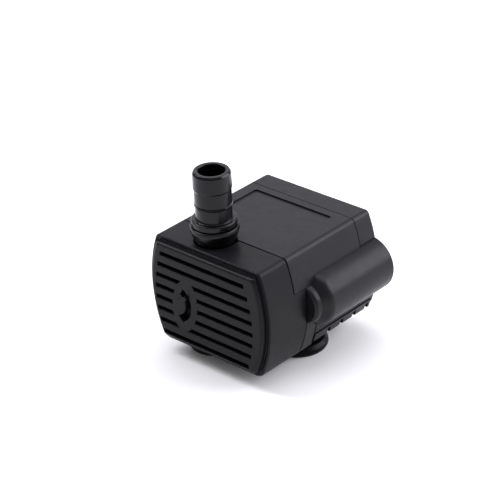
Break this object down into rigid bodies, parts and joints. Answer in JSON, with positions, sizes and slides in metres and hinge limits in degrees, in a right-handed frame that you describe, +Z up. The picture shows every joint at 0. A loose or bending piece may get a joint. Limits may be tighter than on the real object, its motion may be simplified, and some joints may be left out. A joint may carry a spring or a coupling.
{
  "type": "fountain submersible pump",
  "caption": "Small submersible pump: a bowed box with a slotted inlet cover, a hose tail on top, a cable barrel on one side and rubber suction feet.",
  "frame": {"origin": "centre of the pump's outline seen from above, on the surface that it stands on", "axes": "+Z up along the outlet, -Y out of the slotted inlet face, +X towards the cable barrel"},
  "size_m": [0.0602, 0.0612, 0.0697],
  "materials": {
    "body_plastic": "satin black moulded plastic with a fine matt grain",
    "outlet_plastic": "smoother, glossier black moulded plastic",
    "foot_rubber": "soft black rubber with a wet-looking sheen",
    "seal_rubber": "smooth black rubber",
    "impeller_plastic": "off-white moulded plastic",
    "magnet": "dark grey sintered ferrite",
    "ceramic": "polished off-white ceramic",
    "core_steel": "stacked electrical steel sheets",
    "bobbin_nylon": "natural nylon",
    "copper_winding": "enamelled copper wire",
    "resin": "poured black potting resin",
    "lead_brown": "brown wire insulation",
    "lead_blue": "blue wire insulation"
  },
  "bodies": {
    "motor": {"motor_housing": "body_plastic", "volute_cover": "outlet_plastic", "volute_seal": "seal_rubber", "rotor_shaft": "ceramic", "front_bushing": "seal_rubber", "rear_bushing": "seal_rubber", "front_thrust_washer": "ceramic", "rear_thrust_washer": "ceramic", "stator_core": "core_steel", "upper_bobbin": "bobbin_nylon", "lower_bobbin": "bobbin_nylon", "upper_coil": "copper_winding", "lower_coil": "copper_winding", "potting_resin": "resin", "rear_cover": "body_plastic", "cable_gland": "foot_rubber", "brown_lead": "lead_brown", "blue_lead": "lead_blue", "base_tray": "body_plastic", "foot_right": "foot_rubber", "foot_rear_left": "foot_rubber"},
    "rotor": {"impeller": "impeller_plastic", "rotor_magnet": "magnet"},
    "cover": {"front_cover": "body_plastic", "foot_front_left": "foot_rubber"},
    "regulator": {"flow_regulator": "body_plastic"},
    "nozzle": {"outlet_nozzle": "outlet_plastic", "nozzle_o_ring": "seal_rubber"}
  },
  "joints": [
    {"name": "rotor_spin", "type": "hinge", "parent": "motor", "child": "rotor", "pos_m": [-0.01758, -0.0005, 0.0219], "axis": [0, 1, 0], "continuous": true},
    {"name": "cover_slide", "type": "slide", "parent": "motor", "child": "cover", "axis": [0, -1, 0], "range_m": [0, 0.018]},
    {"name": "regulator_turn", "type": "hinge", "parent": "cover", "child": "regulator", "pos_m": [-0.01758, -0.02965, 0.0219], "axis": [0, 1, 0], "range_deg": [-13, 85]},
    {"name": "nozzle_lift", "type": "slide", "parent": "motor", "child": "nozzle", "axis": [0, 0, 1], "range_m": [0, 0.005]}
  ]
}
